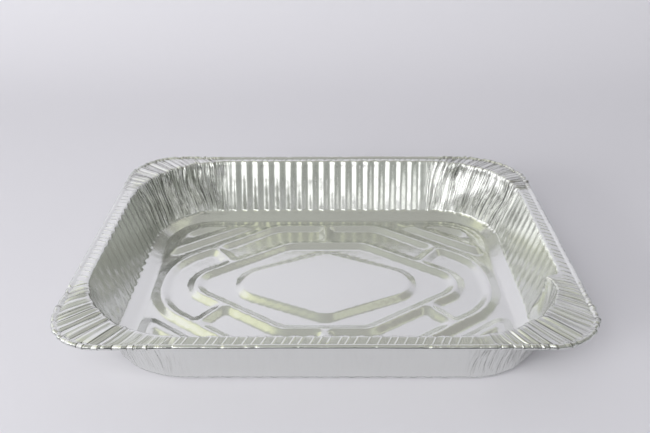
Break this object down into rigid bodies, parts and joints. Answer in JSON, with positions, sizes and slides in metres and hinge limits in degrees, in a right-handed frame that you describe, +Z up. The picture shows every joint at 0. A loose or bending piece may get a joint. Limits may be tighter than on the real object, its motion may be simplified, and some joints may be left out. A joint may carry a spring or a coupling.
{
  "type": "aluminium foil tray",
  "caption": "Shallow half-size oblong foil tray with fluted walls, pleated corners, a rolled rim and an embossed base.",
  "frame": {"origin": "middle of the tray at the plane it stands on", "axes": "+Z up out of the open mouth, +X along the longer side"},
  "size_m": [0.324, 0.264, 0.046],
  "materials": {
    "foil": "bright rolled foil"
  },
  "bodies": {
    "root": {"tray": "foil"}
  },
  "joints": []
}
